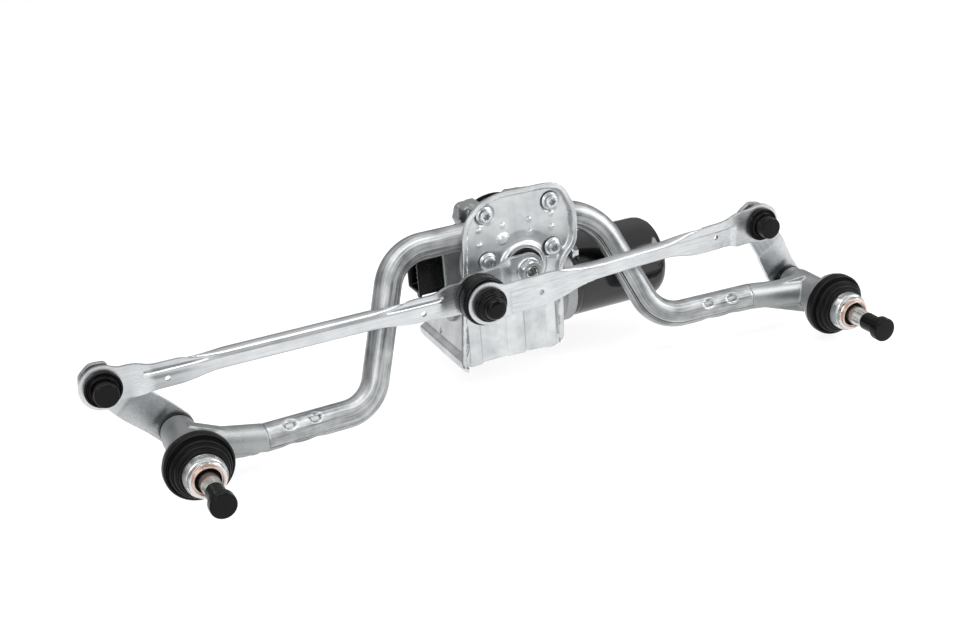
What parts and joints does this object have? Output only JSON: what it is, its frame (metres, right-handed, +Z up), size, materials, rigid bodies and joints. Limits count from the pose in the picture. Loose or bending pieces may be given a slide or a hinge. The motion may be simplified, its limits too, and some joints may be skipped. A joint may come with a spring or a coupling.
{
  "type": "wiper linkage",
  "caption": "Windscreen wiper linkage: bent tube frame with cast pivots, link rods, levers, crank and a worm-gear motor on a stamped bracket.",
  "frame": {"origin": "on the left wiper spindle's axis, at the rim of the left seal, where the cowl panel sits", "axes": "+X from the left pivot towards the right one, -Y out along the spindles towards the wiper arms, +Z up, from the tube ends towards the arch over the motor"},
  "size_m": [0.5865, 0.2058, 0.1496],
  "materials": {
    "galvanised_steel": "galvanised, satin grey",
    "zinc_plated_steel": "zinc plated, bright satin",
    "bright_steel": "turned, bright",
    "cast_aluminium": "die cast, fine shot-blast",
    "seal_rubber": "moulded, matt black",
    "bearing_bronze": "sintered bronze",
    "black_plastic": "moulded, satin black",
    "black_enamel": "satin black enamel on drawn steel",
    "contact_copper": "bare copper alloy",
    "gear_nylon": "natural acetal",
    "ferrite": "sintered, dark grey",
    "laminated_iron": "lacquered laminations",
    "phenolic": "pressed board"
  },
  "bodies": {
    "frame": {"frame_tube": "galvanised_steel", "motor_bracket": "galvanised_steel", "motor_bolts": "zinc_plated_steel", "gear_housing": "cast_aluminium", "gear_cover": "black_plastic", "cover_screws": "bright_steel", "shaft_bush": "bearing_bronze", "connector_box": "black_plastic", "contact_blades": "contact_copper", "motor_can": "black_enamel", "can_screws": "zinc_plated_steel", "magnets": "ferrite", "brush_plate": "phenolic", "end_bearing": "bearing_bronze", "left_housing": "cast_aluminium", "left_seal": "seal_rubber", "left_thrust_ring": "bearing_bronze", "left_o_ring": "seal_rubber", "left_bushes": "bearing_bronze", "right_housing": "cast_aluminium", "right_seal": "seal_rubber", "right_thrust_ring": "bearing_bronze", "right_o_ring": "seal_rubber", "right_bushes": "bearing_bronze"},
    "crank": {"crank_arm": "zinc_plated_steel", "crank_stud": "bright_steel", "crank_nut": "zinc_plated_steel", "output_shaft": "bright_steel", "worm_wheel": "gear_nylon"},
    "left_rod_body": {"left_rod": "zinc_plated_steel", "left_outer_socket": "black_plastic", "left_inner_socket": "black_plastic", "left_stud": "bright_steel", "crank_ring": "black_plastic"},
    "right_rod_body": {"right_rod": "zinc_plated_steel", "right_outer_socket": "black_plastic", "right_inner_socket": "black_plastic", "right_stud": "bright_steel"},
    "rotor": {"armature": "laminated_iron", "commutator": "contact_copper", "worm_shaft": "bright_steel"},
    "left_wiper_shaft": {"left_spindle": "bright_steel", "left_lever": "zinc_plated_steel", "left_rivet": "bright_steel", "left_washer": "black_plastic"},
    "left_cap_body": {"left_cap": "black_plastic"},
    "right_wiper_shaft": {"right_spindle": "bright_steel", "right_lever": "zinc_plated_steel", "right_rivet": "bright_steel", "right_washer": "black_plastic"},
    "right_cap_body": {"right_cap": "black_plastic"}
  },
  "joints": [
    {"name": "crank_turn", "type": "hinge", "parent": "frame", "child": "crank", "pos_m": [0.271, 0.0585, 0.055], "axis": [0, 1, 0], "range_deg": [0, 180]},
    {"name": "left_wiper_swing", "type": "hinge", "parent": "frame", "child": "left_wiper_shaft", "pos_m": [0, 0.02, 0], "axis": [0, 1, 0], "range_deg": [0, 89.73]},
    {"name": "left_rod_swing", "type": "hinge", "parent": "crank", "child": "left_rod_body", "pos_m": [0.22302, 0.0416, 0.05165], "axis": [0, 1, 0], "range_deg": [-182.76, 0]},
    {"name": "right_wiper_swing", "type": "hinge", "parent": "frame", "child": "right_wiper_shaft", "pos_m": [0.5013, 0.0164, -0.0085], "axis": [0, 1, 0], "range_deg": [0, 80.79]},
    {"name": "right_rod_swing", "type": "hinge", "parent": "crank", "child": "right_rod_body", "pos_m": [0.22302, 0.022, 0.05165], "axis": [0, 1, 0], "range_deg": [-175.27, 0]},
    {"name": "rotor_spin", "type": "hinge", "parent": "frame", "child": "rotor", "pos_m": [0.35, 0.102, 0.0235], "axis": [1, 0, 0], "range_deg": [0, 9720]},
    {"name": "left_cap_pull", "type": "slide", "parent": "left_wiper_shaft", "child": "left_cap_body", "axis": [0, -1, 0], "range_m": [0, 0.04]},
    {"name": "right_cap_pull", "type": "slide", "parent": "right_wiper_shaft", "child": "right_cap_body", "axis": [0, -1, 0], "range_m": [0, 0.04]}
  ],
  "couplings": [
    {"joint": "left_wiper_swing", "follows": "crank_turn", "ratio": 0.49822},
    {"joint": "left_rod_swing", "follows": "crank_turn", "ratio": -1.015},
    {"joint": "right_wiper_swing", "follows": "crank_turn", "ratio": 0.44856},
    {"joint": "right_rod_swing", "follows": "crank_turn", "ratio": -0.97342},
    {"joint": "rotor_spin", "follows": "crank_turn", "ratio": 54}
  ]
}
